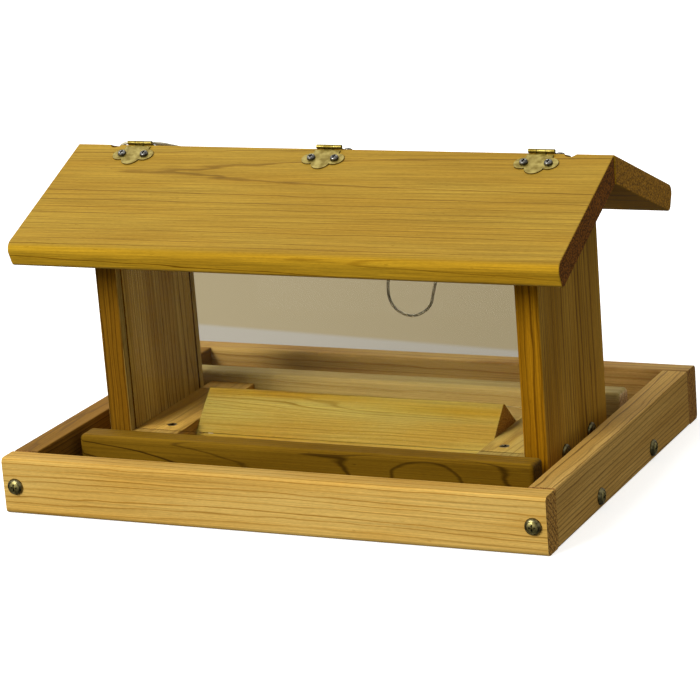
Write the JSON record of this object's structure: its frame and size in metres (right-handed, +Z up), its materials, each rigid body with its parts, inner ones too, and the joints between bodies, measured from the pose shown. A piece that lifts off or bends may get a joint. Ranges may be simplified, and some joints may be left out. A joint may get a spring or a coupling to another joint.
{
  "type": "hopper bird feeder",
  "caption": "Cedar hopper bird feeder with a gabled roof whose front panel lifts on hinges, clear side panes over a seed trough, a perch frame and a hanging cable.",
  "frame": {"origin": "middle of the underside, level with the bottoms of the rails and of the floor board", "axes": "+X to the right along the ridge, +Y to the back away from the lid, +Z up"},
  "size_m": [0.4128, 0.3112, 0.2341],
  "materials": {
    "planed_cedar": "planed, bare",
    "sawn_cedar": "sawn, bare",
    "clear_acrylic": "clear, polished",
    "hinge_brass": "brass plated",
    "plated_steel": "bright nickel plated",
    "cable_steel": "stranded galvanised wire"
  },
  "bodies": {
    "base": {"batten_screws": "plated_steel", "cable_anchor_screws": "plated_steel", "centre_hinge_pin": "hinge_brass", "centre_hinge_rear_leaf": "hinge_brass", "diverter_screws": "plated_steel", "end_wall_screws": "plated_steel", "end_wall_washers": "plated_steel", "floor_board": "sawn_cedar", "floor_end_screws": "plated_steel", "floor_end_washers": "plated_steel", "front_lip": "planed_cedar", "front_rail": "planed_cedar", "hanging_cable": "cable_steel", "left_batten": "sawn_cedar", "left_cable_lug": "cable_steel", "left_end_wall": "sawn_cedar", "left_hinge_pin": "hinge_brass", "left_hinge_rear_leaf": "hinge_brass", "left_rail": "planed_cedar", "lip_screws": "plated_steel", "rail_corner_screws": "plated_steel", "rail_corner_washers": "plated_steel", "rear_lip": "planed_cedar", "rear_rail": "planed_cedar", "rear_roof_panel": "sawn_cedar", "rear_roof_screws": "plated_steel", "ridge_hinge_screws": "plated_steel", "right_batten": "sawn_cedar", "right_cable_lug": "cable_steel", "right_end_wall": "sawn_cedar", "right_hinge_pin": "hinge_brass", "right_hinge_rear_leaf": "hinge_brass", "right_rail": "planed_cedar", "seed_diverter": "sawn_cedar"},
    "lid": {"front_roof_panel": "sawn_cedar", "left_hinge_front_leaf": "hinge_brass", "centre_hinge_front_leaf": "hinge_brass", "right_hinge_front_leaf": "hinge_brass", "lid_hinge_screws": "plated_steel"},
    "front_pane": {"front_pane": "clear_acrylic"},
    "rear_pane": {"rear_pane": "clear_acrylic"}
  },
  "joints": [
    {"name": "roof_lid_hinge", "type": "hinge", "parent": "base", "child": "lid", "pos_m": [0, 0, 0.23263], "axis": [-1, 0, 0], "range_deg": [0, 105]},
    {"name": "front_pane_slide", "type": "slide", "parent": "base", "child": "front_pane", "axis": [0, 0, 1], "range_m": [0, 0.004]},
    {"name": "rear_pane_slide", "type": "slide", "parent": "base", "child": "rear_pane", "axis": [0, 0, 1], "range_m": [0, 0.004]}
  ]
}
